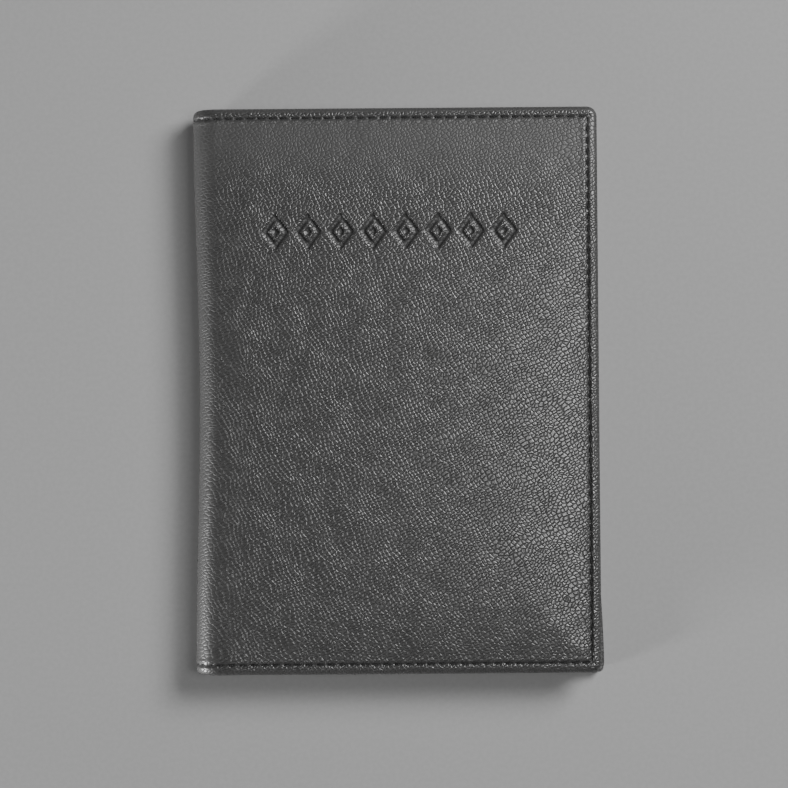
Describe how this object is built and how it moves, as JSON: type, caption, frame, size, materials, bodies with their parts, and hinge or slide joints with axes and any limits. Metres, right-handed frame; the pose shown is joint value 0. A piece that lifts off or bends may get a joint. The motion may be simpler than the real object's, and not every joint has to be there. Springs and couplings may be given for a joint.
{
  "type": "passport holder",
  "caption": "Book-style padded leather passport holder with stitched edges, a soft two-fold spine, slip sleeves for the passport's covers and two card pockets.",
  "frame": {"origin": "centre of the closed holder's footprint, on the outer face of the back cover it rests on", "axes": "+X from the spine to the free edge, +Y from tail to head, +Z through the thickness from the back cover to the front cover"},
  "size_m": [0.101, 0.141, 0.013],
  "materials": {
    "leather": "satin",
    "thread": "matte",
    "lining_cloth": "matte",
    "foam": "matte",
    "board": "matte"
  },
  "bodies": {
    "back_cover": {"back_leather": "leather", "back_padding": "foam", "back_board": "board", "back_lining": "lining_cloth", "back_sleeve": "leather", "back_seam_outer_thread": "thread", "back_seam_inner_thread": "thread", "back_sleeve_thread": "thread"},
    "spine": {"spine_leather": "leather", "spine_lining": "lining_cloth", "spine_seam_thread": "thread"},
    "front_cover": {"front_leather": "leather", "front_padding": "foam", "front_board": "board", "front_lining": "lining_cloth", "front_sleeve": "leather", "card_pocket_upper": "leather", "card_pocket_lower": "leather", "front_seam_outer_thread": "thread", "front_seam_inner_thread": "thread", "front_sleeve_thread": "thread", "card_pocket_upper_thread": "thread", "card_pocket_lower_thread": "thread"}
  },
  "joints": [
    {"name": "spine_fold", "type": "hinge", "parent": "back_cover", "child": "spine", "pos_m": [-0.0493, 0, 0.0012], "axis": [0, -1, 0], "range_deg": [0, 90]},
    {"name": "cover_fold", "type": "hinge", "parent": "spine", "child": "front_cover", "pos_m": [-0.0493, 0, 0.0118], "axis": [0, -1, 0], "range_deg": [0, 90]}
  ]
}
